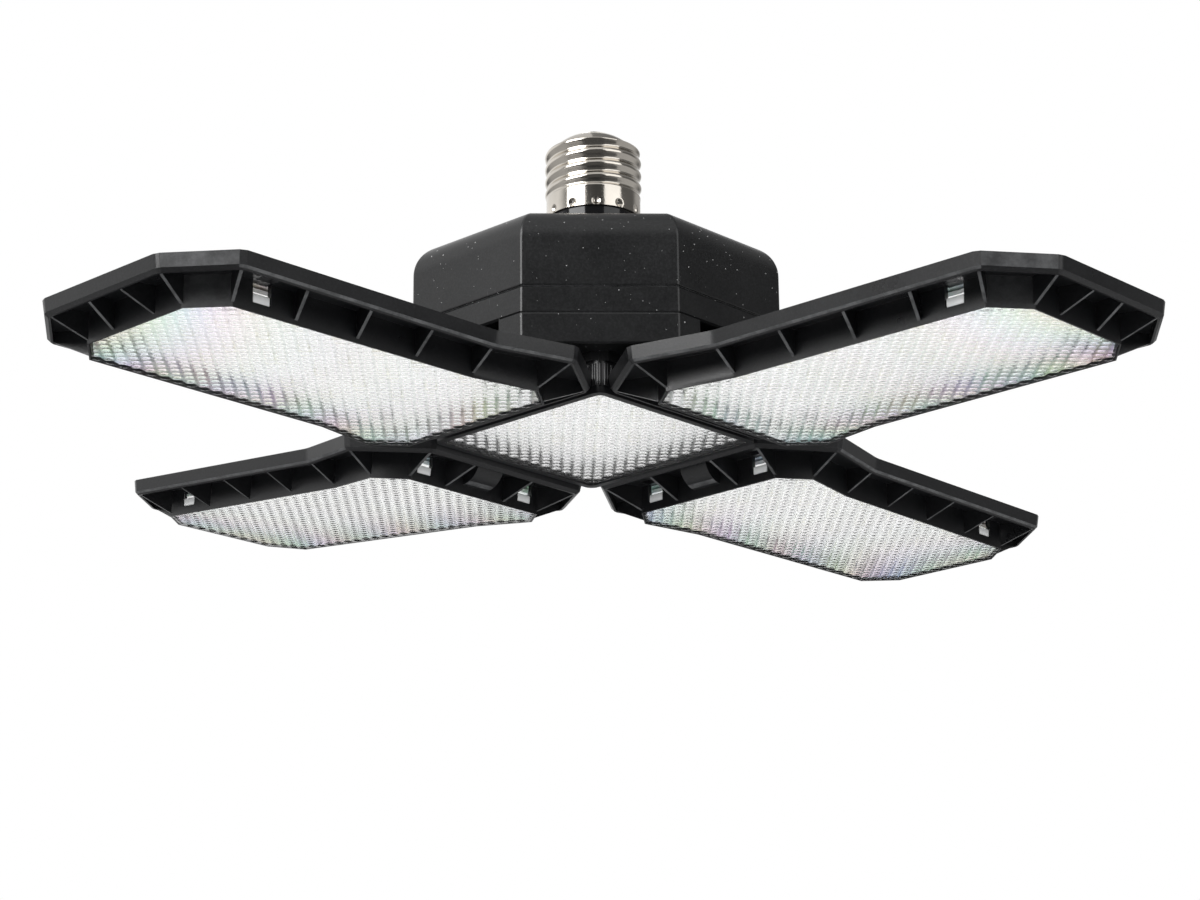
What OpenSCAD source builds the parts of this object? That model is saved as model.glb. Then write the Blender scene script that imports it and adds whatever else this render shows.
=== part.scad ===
// Deformable garage light: a screw-base ceiling light with a square light that faces down
// and four light panels hinged round it, which fold up beside its octagonal housing.
//
// Millimetres. +Z is up, into the lampholder, and the origin is the tip of the centre contact.
// A panel has its own coordinates: u outward from the lamp's axis, v to the left of u seen from
// above, and h up from the outer face of the panel's lens.

/* [Screw base] */
// Diameter over the crests of the medium screw thread
thread_d = 26.4; // [26:0.1:26.6]
// Distance from one thread crest to the next
thread_pitch = 3.63; // [3.4:0.01:3.8]
// Height of the crests above the roots
thread_depth = 0.85; // [0.6:0.05:1]
// Number of thread crests
thread_turns = 4; // [3:1:5]
// Diameter of the plain skirt below the thread
skirt_d = 25.7; // [25.5:0.1:26]
// Height of the plain skirt
skirt_h = 5.7; // [5:0.1:6.5]
// Thickness of the shell's sheet
sheet_t = 0.5; // [0.4:0.05:0.6]
// Height of the dome from the top of the thread to the tip of the contact
dome_h = 5; // [4:0.1:6]
// Diameter of the dome where it meets the thread
shoulder_d = 22.4; // [21:0.1:23.4]
// Diameter of the shell's open top
shell_mouth_d = 17.8; // [16:0.1:19]
// Diameter of the centre contact
contact_d = 10.8; // [9:0.1:12]
// How far the contact stands above the insulator round it
contact_step = 0.25; // [0.2:0.05:0.5]
// Diameter of the rivet stem under the contact
stem_d = 3; // [2.4:0.1:4]

/* [Neck] */
// Diameter of the glossy neck below the shell
neck_d = 24.4; // [23.8:0.1:24.6]
// Height of the neck that shows between housing and shell
neck_h = 13.9; // [10:0.1:20]
// Bore of the neck, which the leads pass through
neck_bore_d = 19; // [16:0.5:20]
// Diameter of the neck's flange inside the cover
neck_flange_d = 34; // [30:0.5:40]

/* [Housing] */
// Width of the octagonal housing across its flats
housing_w = 96.4; // [92:0.2:106]
// Height of the top cover
cover_h = 22.7; // [20:0.1:30]
// Radius of the cover's top edge
cover_edge_r = 9.5; // [5:0.1:12]
// Height of the base housing's band
band_h = 7.2; // [5:0.1:10]
// Height of the legs below the band
leg_h = 8.2; // [7.6:0.1:12]
// Wall of the housing
wall = 2.2; // [1.6:0.1:2.8]
// Small chamfer along the seam between cover and base housing
seam_chamfer = 0.2; // [0.15:0.05:0.6]
// Fine chamfer along the line above the notches
ledge_chamfer = 0.1; // [0.08:0.02:0.3]
// Width of the hinge notches
notch_w = 24; // [23.6:0.1:27]

/* [Centre light] */
// Height of the centre frame
core_h = 11.2; // [10.4:0.1:14]
// Width of the square centre lens
core_lens_w = 57.2; // [50:0.2:58]
// Border of the centre frame round its lens
core_border = 2; // [1.6:0.1:2.1]
// Radius of the flutes on the corners of the centre frame
flute_r = 0.4; // [0.3:0.05:0.45]

/* [Panels] */
// Distance from the lamp's axis to a panel's inner edge
rim_inner_u = 31.8; // [31.7:0.1:32.2]
// Width of a panel's inner edge
rim_inner_w = 56.6; // [54:0.2:60]
// Distance from the lamp's axis to a panel's widest place
rim_wide_u = 51.4; // [50:0.1:54]
// Greatest width of a panel
rim_wide_w = 84.4; // [80:0.2:88]
// Distance from the lamp's axis to a panel's neck
rim_neck_u = 73.7; // [71:0.1:77]
// Width of a panel at its neck
rim_neck_w = 73.4; // [71:0.2:76]
// Distance from the lamp's axis to the end of a panel's long sides
rim_side_u = 151.6; // [140:0.2:160]
// Width of a panel at the end of its long sides
rim_side_w = 72.2; // [70:0.2:75]
// Distance from the lamp's axis to a panel's tip
panel_reach = 163.8; // [161:0.2:176]
// Width of a panel's tip
rim_tip_w = 41.6; // [36:0.2:50]
// Thickness of a panel from its lens to its back
panel_h = 9.6; // [9.2:0.1:11]
// Height of the outer rim's wall
rim_h = 4.2; // [3.5:0.1:5]
// Thickness of the rim's wall at its lip
rim_t = 1.5; // [1.2:0.1:2]
// Slope of the rim's wall: how far it spreads from lip to back
rim_draft = 0.5; // [0.2:0.05:0.8]
// Chamfer along the outside of the rim's lip
rim_edge = 0.9; // [0.5:0.05:1]
// How far each corner of the rim is cut back along its sides
rim_corner = 0.9; // [0.5:0.1:1.2]
// Thickness of a panel's back plate
plate_t = 1.6; // [1.4:0.1:2]
// Depth of a panel's lens below the centre lens
panel_drop = 5.7; // [4:0.1:6]
// Angle that the back left panel is raised by in the resting pose
raised_angle = 5.5; // [0:0.5:10]
// Angle that the other panels hang below flat, on their lower stops
sag_angle = 0.4; // [0:0.1:0.8]

/* [Panel channel] */
// Width of the open channel along the hinge side
channel_hinge_w = 13.6; // [13:0.1:15]
// Width of the channel at the panel's widest place
channel_wide_w = 11.6; // [11:0.1:12.5]
// Width of the channel at the panel's neck
channel_neck_w = 9.6; // [9:0.1:10.5]
// Width of the channel at the end of the long sides
channel_side_w = 10.4; // [9.5:0.1:11]
// Width of the channel at the tip
channel_tip_w = 10.6; // [10:0.1:11.5]
// Thickness of the ribs across the channel
rib_t = 0.8; // [0.6:0.1:1.6]
// Ribs across each long side between its corners
side_ribs = 3; // [2:1:5]
// Distance of the hinge side's ribs from the panel's centre line
hinge_rib_v = 11; // [9:0.5:13]
// Radius of the round relief over the hinge barrel
relief_r = 6.8; // [6:0.1:7.4]
// Width of the round relief over the hinge barrel
relief_w = 9.4; // [8:0.2:12]

/* [Lenses and light boards] */
// Thickness of the lenses
lens_t = 2; // [1.6:0.1:2.2]
// Bevel round the lenses' outer edge
lens_bevel = 0.5; // [0.3:0.05:0.8]
// Width of the snap clips
clip_w = 5; // [4:0.1:6]
// Distance of the hinge side's clips from the panel's centre line
clip_hinge_v = 19.2; // [17:0.1:20]
// Thickness of the light boards
board_t = 1; // [0.8:0.1:1.6]
// Height of the bosses that carry a panel's light board
board_rise = 0.6; // [0.5:0.1:1.2]
// Height of the bosses that carry the centre light board
core_board_rise = 2.4; // [2:0.1:3]
// Height of the light-emitting chips
chip_h = 0.7; // [0.5:0.05:0.8]

/* [Hinges] */
// Distance from the lamp's axis to a panel's hinge axis
hinge_u = 45.5; // [45.3:0.1:46.5]
// Height of the hinge axis above a flat panel's back
hinge_rise = 5.1; // [5.1:0.1:6]
// Diameter of the hinge pins
pin_d = 3; // [2.5:0.1:4]
// Diameter of the hinge ears and knuckles
ear_d = 8; // [7.4:0.1:8.4]
// Thickness of the hinge ears
ear_t = 4.1; // [3:0.1:4.2]
// Thickness of the friction washers
washer_t = 0.3; // [0.2:0.05:0.5]

/* [Fasteners and driver] */
// Shank diameter of the long cover screws and the frame screws
screw_d = 2.8; // [2.4:0.1:3]
// Shank diameter of the small screws
small_screw_d = 2.2; // [2:0.1:2.4]
// Distance from the lamp's axis to the cover screws
cover_screw_r = 34; // [32:0.5:35]
// Diameter of the driver's circuit board
driver_d = 54; // [48:0.5:55]
// Thickness of the driver's circuit board
driver_t = 1.6; // [1.2:0.1:2]
// Diameter of the internal leads over their insulation
lead_d = 1.8; // [1.4:0.1:2.2]

/* [Hidden] */
$fn = 64;
overlap = 0.2;       // how far fused features run into each other
run_gap = 0.05;      // radial clearance of pins and screws in their holes
fit_gap = 0.15;      // clearance round seated pieces

black = [0.09, 0.09, 0.1];
nickel = [0.75, 0.73, 0.7];
frosted = [0.93, 0.94, 0.93];
board_white = [0.88, 0.88, 0.84];

// Heights, from the contact's tip downward
thread_top_z = -dome_h;
thread_low_z = thread_top_z - thread_turns * thread_pitch;
skirt_z = thread_low_z - skirt_h;
cover_top_z = skirt_z - neck_h;
seam_z = cover_top_z - cover_h;
ledge_z = seam_z - band_h;
leg_z = ledge_z - leg_h;
face_z = leg_z - core_h;
panel_z = face_z - panel_drop;
floor_z = leg_z + wall;            // inside floor of the base housing
hinge_h = panel_h + hinge_rise;    // hinge axis in a panel's own coordinates
hinge_z = panel_z + hinge_h;

// Screw base radii
crest_r = thread_d / 2;
root_r = crest_r - thread_depth;
shoulder_r = shoulder_d / 2;
mouth_r = shell_mouth_d / 2;
stem_h = 5;
contact_flat_r = 2;

// Half height of the ellipse that the dome over the shell and the insulator is cut from
dome_axis = (dome_h - contact_step) / (1 - sqrt(1 - pow(shoulder_r / root_r, 2)));

// Height of the dome at radius r, moved inward by d
function dome_z(r, d = 0) =
    -contact_step - dome_axis + (dome_axis - d) * sqrt(max(0, 1 - pow(r / (root_r - d), 2)));

seat_z = dome_z(contact_d / 2);    // underside of the contact

// Housing
apothem = housing_w / 2;
lip_t = 1.2;
lip_h = 2.5;
base_inner = apothem - wall - fit_gap - lip_t;
post_r = 4;
post_z = seam_z + 1.3;
post_len = 14;
standoff_r = 2.6;
standoff_place = 21;
driver_z = floor_z + 8.6;

// Parts on the driver's board, and their places on it
transformer_w = 18;
transformer_y = 14;
capacitor_d = 10;
large_capacitor = [-12, 6];
small_capacitor = [-3, 16];
film_capacitor = [4, 8];
choke = [17, -3];
choke_d = 9;
choke_h = 7;
choke_bore_d = 4;
choke_floor = 2;
rectifier = [14, 3.5];

// Centre frame
core_half = core_lens_w / 2 + core_border;
core_corner_r = 2.5;
core_lens_r = 1.5;
collar_h = 2.6;
collar_half = core_half + 0.8;
collar_facet = 4.4;
flute_low = 2;
flute_high = 7.8;
flute_pitch = 1.6;
flutes_per_side = 4;
notch_u = core_half + 0.4;         // inner wall of the hinge notches
frame_screw_place = 14;

// Panel outlines, half of each from the hinge side to the tip
rim_half = [
    [rim_inner_u, rim_inner_w / 2], [rim_wide_u, rim_wide_w / 2], [rim_neck_u, rim_neck_w / 2],
    [rim_side_u, rim_side_w / 2], [panel_reach, rim_tip_w / 2]
];
lens_half = [
    [rim_inner_u + channel_hinge_w, rim_inner_w / 2 - 4],
    [rim_wide_u + 2.2, rim_wide_w / 2 - channel_wide_w],
    [rim_neck_u - 1.3, rim_neck_w / 2 - channel_neck_w],
    [rim_side_u - 5.5, rim_side_w / 2 - channel_side_w],
    [panel_reach - channel_tip_w, rim_tip_w / 2 - 3.7]
];
corners = len(rim_half);
lip_z = panel_h - rim_h;           // height of the rim's lip above the lens face
under_plate = panel_h - plate_t;
rib_low = 0.8;                     // height of the ribs' lower end at the lens box
tip_rib_rim_v = 5.5;
tip_rib_lens_v = 7.6;

// Lens box: the wall round a lens, from outside to inside
box_out = 0.6;
box_in = 0.7;
box_low = 0.25;
clip_low = 2.6;
clip_high = 5;
clip_side_t = 0.89;                // place of the side clips along the long side
slot_len = 3.5;
boss_r = 3;
board_inset = 2.3;
board_z = under_plate - board_rise - board_t;
panel_bosses = [lens_half[1] + [4.4, -11.6], lens_half[4] - [13.2, 0.1]];
chip = [3.5, 2.8];
chip_columns = 6;
chip_rows = 4;
chip_first = [lens_half[1].x + 12.4, 0.6 - lens_half[4].y];
chip_last = [lens_half[4].x - 19.7, lens_half[4].y - 0.6];

// Hinges
ear_out = notch_w / 2 - 0.5;
ear_in = ear_out - ear_t;
knuckle_half = ear_in - washer_t - 0.1;
foot_t = 2.2;

// Each panel's name, direction and angle above flat
panels = [
    ["front_left", 225, -sag_angle], ["back_left", 135, raised_angle],
    ["back_right", 45, -sag_angle], ["front_right", 315, -sag_angle]
];
panel_parts = ["frame", "light_board", "chips", "board_screws", "lens"];

// ---------- Outlines ----------

function unit_normal(a, b) = let (d = (b - a) / norm(b - a)) [-d.y, d.x];

// Moves every side of a counter-clockwise outline inward by d
function inset(pts, d) = let (n = len(pts)) [
    for (i = [0:n - 1])
        let (
            before = unit_normal(pts[(i + n - 1) % n], pts[i]),
            after = unit_normal(pts[i], pts[(i + 1) % n])
        )
        pts[i] + d * (before + after) / (1 + before * after)
];

// Whole outline from the half that lies at positive v
function both_halves(half) = concat(
    [for (p = half) [p.x, -p.y]],
    [for (i = [len(half) - 1:-1:0]) half[i]]
);

function between(a, b, t) = a + (b - a) * t;

function box_square(half) = [[-half, -half], [half, -half], [half, half], [-half, half]];

// Cuts each corner of an outline back by d along its two sides
function cut_corners(pts, d) = let (n = len(pts)) [
    for (i = [0:n - 1], end = [n - 1, 1])
        let (away = pts[(i + end) % n] - pts[i])
        pts[i] + d * away / norm(away)
];

rim = cut_corners(both_halves(rim_half), rim_corner);
panel_lens_outline = both_halves(lens_half);

// Solid through like outlines at rising heights
module stacked_prism(outlines, heights) {
    n = len(outlines[0]);
    last = len(outlines) - 1;
    polyhedron(
        points = [for (k = [0:last], p = outlines[k]) [p.x, p.y, heights[k]]],
        faces = concat(
            [[for (i = [0:n - 1]) i]],
            [[for (i = [n - 1:-1:0]) last * n + i]],
            [
                for (k = [0:last - 1], i = [0:n - 1])
                    let (a = k * n + i, b = k * n + (i + 1) % n)
                    [a, a + n, b + n, b]
            ]
        )
    );
}

module ring(outer, inner) {
    difference() {
        polygon(outer);
        polygon(inner);
    }
}

module at_quarters(start = 0) {
    for (a = [0:90:270]) rotate([0, 0, start + a]) children();
}

// ---------- Screw base ----------

// Share of the thread's depth at place s between two roots, with a narrow flat along the crest
function crest_share(s) = min(1, 1.08 * (0.5 - 0.5 * cos(360 * s)));

thread_steps = [0, 0.125, 0.25, 0.375, 0.42, 0.58, 0.625, 0.75, 0.875];
thread_line = [
    for (turn = [0:thread_turns - 1], s = thread_steps)
        [root_r + thread_depth * crest_share(s), thread_low_z + (turn + s) * thread_pitch]
];

// Points along the dome from radius r0 in to radius r1, moved inward by d
dome_steps = 7;
function dome_line(r0, r1, d = 0) =
    let (
        a0 = acos(min(1, r0 / (root_r - d))),
        a1 = acos(r1 / (root_r - d))
    )
    [
        for (i = [0:dome_steps])
            let (r = (root_r - d) * cos(a0 + (a1 - a0) * i / dome_steps))
            [r, dome_z(r, d)]
    ];

module centre_contact() {
    edge_r = contact_d / 2;
    color(nickel) rotate_extrude()
        polygon(concat(
            [[0, seat_z - stem_h], [stem_d / 2, seat_z - stem_h], [stem_d / 2, seat_z], [edge_r, seat_z]],
            [for (p = dome_line(edge_r, contact_flat_r + 0.5)) p + [0, contact_step]],
            [[contact_flat_r, 0], [0, 0]]
        ));
}

module contact_insulator() {
    bore_r = stem_d / 2 + 0.1;
    inside = sheet_t + fit_gap;
    plug_r = root_r - inside;
    step_z = thread_top_z - 2 * inside;
    low_z = step_z - 1.2;
    color([0.86, 0.83, 0.76]) rotate_extrude()
        polygon(concat(
            [[bore_r, low_z], [plug_r, low_z], [plug_r, step_z], [shoulder_r - inside, step_z]],
            dome_line(shoulder_r - inside, mouth_r - fit_gap, inside),
            dome_line(mouth_r - fit_gap, contact_d / 2),
            [[bore_r, seat_z]]
        ));
}

module screw_shell() {
    color(nickel) rotate_extrude()
        polygon(concat(
            [[skirt_d / 2, skirt_z], [skirt_d / 2, thread_low_z - 0.6]],
            thread_line,
            dome_line(shoulder_r, mouth_r),
            [for (i = [dome_steps:-1:0]) dome_line(shoulder_r - sheet_t, mouth_r, sheet_t)[i]],
            [[shoulder_r - sheet_t, thread_top_z - sheet_t]],
            [for (i = [len(thread_line) - 1:-1:0]) thread_line[i] - [sheet_t, 0]],
            [[skirt_d / 2 - sheet_t, thread_low_z - 0.6], [skirt_d / 2 - sheet_t, skirt_z]]
        ));
}

module neck_collar() {
    flange_top = cover_top_z - wall;
    plug_r = root_r - sheet_t - fit_gap;
    color(black) difference() {
        union() {
            translate([0, 0, flange_top - 2]) cylinder(d = neck_flange_d, h = 2);
            translate([0, 0, flange_top - overlap])
                cylinder(d = neck_d, h = thread_low_z - 1 - flange_top + overlap);
            translate([0, 0, thread_low_z - 1 - overlap]) cylinder(r = plug_r, h = 7);
        }
        translate([0, 0, flange_top - 3]) cylinder(d = neck_bore_d, h = thread_top_z - flange_top);
    }
}

// ---------- Housing ----------

// Octagonal prism with chamfered ends, as four crossed slabs
module octagon_prism(half, z0, z1, chamfer_low = 0, chamfer_high = 0) {
    intersection_for(a = [0:45:135])
        rotate([0, 0, a]) rotate([90, 0, 0])
            linear_extrude(height = 2.5 * half, center = true)
                polygon([
                    [-half + chamfer_low, z0], [half - chamfer_low, z0], [half, z0 + chamfer_low],
                    [half, z1 - chamfer_high], [half - chamfer_high, z1],
                    [-half + chamfer_high, z1], [-half, z1 - chamfer_high], [-half, z0 + chamfer_low]
                ]);
}

// Octagonal prism with a round top edge
module octagon_dome(half, z0, z1, edge_r, chamfer_low = 0) {
    intersection_for(a = [0:45:135])
        rotate([0, 0, a]) rotate([90, 0, 0])
            linear_extrude(height = 2.5 * half, center = true)
                union() {
                    polygon([
                        [-half + chamfer_low, z0], [half - chamfer_low, z0], [half, z0 + chamfer_low],
                        [half, z1 - edge_r], [half - edge_r, z1 - edge_r], [half - edge_r, z1],
                        [-half + edge_r, z1], [-half + edge_r, z1 - edge_r],
                        [-half, z1 - edge_r], [-half, z0 + chamfer_low]
                    ]);
                    for (side = [-1, 1])
                        translate([side * (half - edge_r), z1 - edge_r]) circle(r = edge_r);
                }
}

// The four notches for the hinges, or their walls when grown
module notches(grow, z0, z1) {
    at_quarters(45)
        translate([notch_u - grow, -notch_w / 2 - grow, z0])
            cube([apothem, notch_w + 2 * grow, z1 - z0]);
}

module top_cover() {
    inside_top = cover_top_z - wall;
    color(black) difference() {
        union() {
            difference() {
                octagon_dome(apothem, seam_z, cover_top_z, cover_edge_r, seam_chamfer);
                octagon_dome(apothem - wall, seam_z - 1, inside_top, cover_edge_r - wall);
            }
            at_quarters()
                translate([cover_screw_r, 0, post_z])
                    cylinder(r = post_r, h = inside_top - post_z + overlap);
        }
        translate([0, 0, inside_top - 1]) cylinder(d = neck_d + 2 * fit_gap, h = wall + 2);
        at_quarters()
            translate([cover_screw_r, 0, post_z - 1])
                cylinder(d = screw_d + 2 * run_gap, h = post_len + 1);
    }
}

module base_housing() {
    color(black) difference() {
        union() {
            difference() {
                union() {
                    octagon_prism(apothem, ledge_z, seam_z, ledge_chamfer, seam_chamfer);
                    difference() {
                        union() {
                            octagon_prism(apothem, leg_z, ledge_z, seam_chamfer, ledge_chamfer);
                            octagon_prism(apothem - wall / 2, ledge_z - 1, ledge_z + 1);
                        }
                        notches(0, leg_z - 1, ledge_z);
                    }
                    octagon_prism(base_inner + lip_t, seam_z - 1, seam_z + lip_h);
                }
                octagon_prism(base_inner, ledge_z + wall, seam_z + lip_h + 1);
                difference() {
                    octagon_prism(base_inner, floor_z, ledge_z + wall + overlap);
                    notches(wall, floor_z - 1, ledge_z + wall + 1);
                }
            }
            at_quarters()
                translate([cover_screw_r, 0, floor_z - overlap])
                    cylinder(r = post_r, h = post_z - floor_z + overlap);
            at_quarters(45) {
                translate([standoff_place, 0, floor_z - overlap])
                    cylinder(r = standoff_r, h = driver_z - floor_z + overlap);
            }
            at_quarters()
                translate([frame_screw_place, 0, floor_z - overlap]) cylinder(r = 3.4, h = 5 + overlap);
        }
        at_quarters() {
            translate([cover_screw_r, 0, leg_z - 1]) cylinder(d = screw_d + 0.6, h = post_z - leg_z + 2);
            translate([cover_screw_r, 0, leg_z - 1])
                cylinder(d = 2 * screw_d + 0.6, h = 1 + screw_head_h + 0.4);
            translate([frame_screw_place, 0, leg_z - 1])
                cylinder(d = screw_d + 2 * run_gap, h = 1 + wall + 4);
        }
        at_quarters(45) {
            translate([standoff_place, 0, driver_z - 7])
                cylinder(d = small_screw_d + 2 * run_gap, h = 8);
            for (side = [-1, 1])
                translate([notch_u + 1, side * bracket_screw_v, bracket_screw_z])
                    rotate([0, -90, 0]) cylinder(d = small_screw_d + 2 * run_gap, h = wall + 2);
        }
    }
}

// ---------- Screws ----------

screw_head_h = 2;
small_head_h = 1.2;

// Screw with its head's underside at z = 0, the shank upward
module screw(d, shank, head_h) {
    difference() {
        union() {
            translate([0, 0, -head_h]) cylinder(d = 2 * d, h = head_h);
            cylinder(d = d, h = shank);
        }
        translate([0, 0, -head_h - 0.1]) cylinder(d = d, h = head_h / 2, $fn = 6);
    }
}

module cover_screws() {
    head_z = leg_z + screw_head_h + 0.4;
    color([0.3, 0.3, 0.32]) at_quarters()
        translate([cover_screw_r, 0, head_z])
            screw(screw_d, post_z + post_len - 1 - head_z, screw_head_h);
}

module centre_frame_screws() {
    color([0.3, 0.3, 0.32]) at_quarters()
        translate([frame_screw_place, 0, leg_z - frame_floor_t])
            screw(screw_d, frame_floor_t + wall + 3.4, small_head_h);
}

module driver_screws() {
    color([0.3, 0.3, 0.32]) at_quarters(45)
        translate([standoff_place, 0, driver_z + driver_t])
            mirror([0, 0, 1]) screw(small_screw_d, driver_t + 6, small_head_h);
}

module bracket_screws() {
    color([0.3, 0.3, 0.32]) at_quarters(45)
        for (side = [-1, 1])
            translate([notch_u + foot_t, side * bracket_screw_v, bracket_screw_z])
                rotate([0, -90, 0]) screw(small_screw_d, foot_t + wall, small_head_h);
}

// ---------- Driver and leads ----------

module driver_board() {
    color([0.12, 0.35, 0.2]) difference() {
        translate([0, 0, driver_z]) cylinder(d = driver_d, h = driver_t);
        at_quarters(45)
            translate([standoff_place, 0, driver_z - 1])
                cylinder(d = small_screw_d + 0.4, h = driver_t + 2);
    }
}

module driver_transformer() {
    base_z = driver_z + driver_t;
    bobbin = [transformer_w, 0.78 * transformer_w, 2.5];
    winding = [14, 10, 9];
    core_limb = [5, 12, 10];
    color([0.75, 0.6, 0.2]) translate([0, -transformer_y, base_z]) {
        translate([-bobbin.x / 2, -bobbin.y / 2, 0]) cube(bobbin);
        translate([-winding.x / 2, -winding.y / 2, bobbin.z - overlap]) cube(winding);
        for (side = [-1, 1])
            translate([(side * bobbin.x - core_limb.x) / 2, -core_limb.y / 2, bobbin.z - overlap])
                cube(core_limb);
    }
}

module driver_capacitors() {
    base_z = driver_z + driver_t;
    color([0.15, 0.15, 0.2]) {
        translate([large_capacitor.x, large_capacitor.y, base_z])
            cylinder(d = capacitor_d, h = 1.4 * capacitor_d);
        translate([small_capacitor.x, small_capacitor.y, base_z])
            cylinder(d = 0.8 * capacitor_d, h = 1.2 * capacitor_d);
    }
}

module driver_small_parts() {
    base_z = driver_z + driver_t;
    color([0.2, 0.2, 0.22]) {
        translate([film_capacitor.x, film_capacitor.y, base_z]) cube([8, 6, 6]);
        translate([choke.x, choke.y, base_z]) difference() {
            cylinder(d = choke_d, h = choke_h);
            translate([0, 0, choke_floor]) cylinder(d = choke_bore_d, h = choke_h);
        }
        translate([rectifier.x, rectifier.y, base_z]) cube([7, 4, 3.5]);
    }
}

module live_lead() {
    low_z = driver_z + driver_t;
    color([0.8, 0.1, 0.1]) translate([0, 0, low_z])
        cylinder(d = lead_d, h = seat_z - stem_h - low_z);
}

module neutral_lead() {
    low_z = driver_z + driver_t;
    turn_z = thread_low_z + (thread_turns - 1) * thread_pitch;
    lead_x = neck_bore_d / 2 - 2.5;
    color([0.85, 0.85, 0.85]) union() {
        translate([lead_x, 0, low_z]) cylinder(d = lead_d, h = turn_z - low_z);
        translate([lead_x, 0, turn_z]) sphere(d = lead_d);
        translate([lead_x, 0, turn_z]) rotate([0, 90, 0])
            cylinder(d = lead_d, h = root_r - sheet_t - run_gap - lead_x);
    }
}

// ---------- Centre light ----------

frame_floor_t = 1.6;
core_boss_place = (core_lens_w / 2 - 6) * sqrt(2);
core_board_z = core_h - frame_floor_t - core_board_rise - board_t;
core_chip_gap = core_lens_w / 4;

module rounded_square(half, r) {
    union() {
        polygon([
            [-half + r, -half], [half - r, -half], [half, -half + r], [half, half - r],
            [half - r, half], [-half + r, half], [-half, half - r], [-half, -half + r]
        ]);
        for (x = [-1, 1], y = [-1, 1])
            translate([x * (half - r), y * (half - r)]) circle(r = r);
    }
}

// Turns the centre light so that its corners point between the panels
module centre_place() {
    translate([0, 0, face_z]) rotate([0, 0, 45]) children();
}

module centre_frame() {
    cut = collar_facet / sqrt(2);
    lens_half_w = core_lens_w / 2;
    color(black) centre_place() difference() {
        union() {
            linear_extrude(height = core_h) rounded_square(core_half, core_corner_r);
            translate([0, 0, core_h - collar_h]) linear_extrude(height = collar_h)
                polygon([
                    for (a = [0:90:270], end = [0, 1])
                        let (x = end == 0 ? collar_half : collar_half - cut,
                             y = end == 0 ? collar_half - cut : collar_half)
                        [x * cos(a) - y * sin(a), x * sin(a) + y * cos(a)]
                ]);
            at_quarters() for (k = [1:flutes_per_side], side = [0, 1])
                mirror([side, -side, 0])
                    translate([core_half, core_half - core_corner_r - (k - 1) * flute_pitch, flute_low])
                        cylinder(r = flute_r, h = flute_high - flute_low, $fn = 24);
            at_quarters()
                translate([core_half - core_corner_r, core_half - core_corner_r, flute_low])
                    for (a = [15:30:75])
                        rotate([0, 0, a]) translate([core_corner_r, 0, 0])
                            cylinder(r = flute_r, h = flute_high - flute_low, $fn = 24);
        }
        translate([0, 0, -1]) linear_extrude(height = lens_t + 1)
            rounded_square(lens_half_w + fit_gap, core_lens_r + fit_gap);
        difference() {
            translate([0, 0, -1]) linear_extrude(height = core_h - frame_floor_t + 1)
                polygon(box_square(lens_half_w - box_in));
            at_quarters(45)
                translate([core_boss_place, 0, core_board_z + board_t])
                    cylinder(r = boss_r, h = core_h);
        }
        at_quarters(45)
            translate([core_boss_place, 0, core_board_z])
                cylinder(d = small_screw_d + 2 * run_gap, h = core_h - 0.8 - core_board_z);
        at_quarters(45)
            translate([frame_screw_place, 0, core_h - frame_floor_t - 1])
                cylinder(d = screw_d + 0.4, h = frame_floor_t + 2);
    }
}

module centre_light_board() {
    color(board_white) centre_place() difference() {
        translate([0, 0, core_board_z]) linear_extrude(height = board_t)
            polygon(box_square(core_lens_w / 2 - box_in - 0.4));
        at_quarters(45)
            translate([core_boss_place, 0, core_board_z - 1])
                cylinder(d = small_screw_d + 0.4, h = board_t + 2);
    }
}

module centre_chips() {
    color([0.95, 0.9, 0.5]) centre_place()
        for (i = [-1:1], j = [-1:1])
            translate([
                i * core_chip_gap - chip.x / 2, j * core_chip_gap - chip.y / 2, core_board_z - chip_h
            ])
                cube([chip.x, chip.y, chip_h]);
}

module centre_board_screws() {
    color(nickel) centre_place() at_quarters(45)
        translate([core_boss_place, 0, core_board_z])
            screw(small_screw_d, board_t + core_board_rise + frame_floor_t - 1, small_head_h);
}

module centre_lens() {
    half = core_lens_w / 2;
    color(frosted) centre_place() intersection() {
        linear_extrude(height = lens_t) rounded_square(half, core_lens_r);
        stacked_prism(
            [box_square(half - lens_bevel), box_square(half - lens_bevel + 2 * lens_t)], [0, 2 * lens_t]
        );
    }
}

// ---------- Hinges ----------

bracket_screw_v = 9;
bracket_screw_z = leg_z + leg_h / 2;

module hinge_brackets() {
    color([0.16, 0.16, 0.17]) at_quarters(45) difference() {
        union() {
            translate([hinge_u, 0, hinge_z]) rotate([90, 0, 0])
                cylinder(d = ear_d, h = 2 * knuckle_half, center = true);
            rotate([90, 0, 0]) linear_extrude(height = 2 * knuckle_half - 1, center = true)
                polygon([
                    [notch_u, leg_z + 0.4], [hinge_u - 2, hinge_z - 3], [hinge_u + 3, hinge_z + 1.5],
                    [notch_u + 8, ledge_z], [notch_u, ledge_z]
                ]);
            translate([notch_u, -ear_out, leg_z + 0.4]) cube([foot_t, 2 * ear_out, leg_h - 0.4]);
        }
        translate([hinge_u, 0, hinge_z]) rotate([90, 0, 0])
            cylinder(d = pin_d + 0.02, h = notch_w, center = true);
        for (side = [-1, 1])
            translate([notch_u + foot_t + 1, side * bracket_screw_v, bracket_screw_z])
                rotate([0, -90, 0]) cylinder(d = small_screw_d + 2 * run_gap, h = foot_t + 2);
    }
}

module hinge_pins() {
    color(nickel) at_quarters(45)
        translate([hinge_u, 0, hinge_z]) rotate([90, 0, 0])
            cylinder(d = pin_d, h = 2 * ear_out - 0.2, center = true);
}

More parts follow.
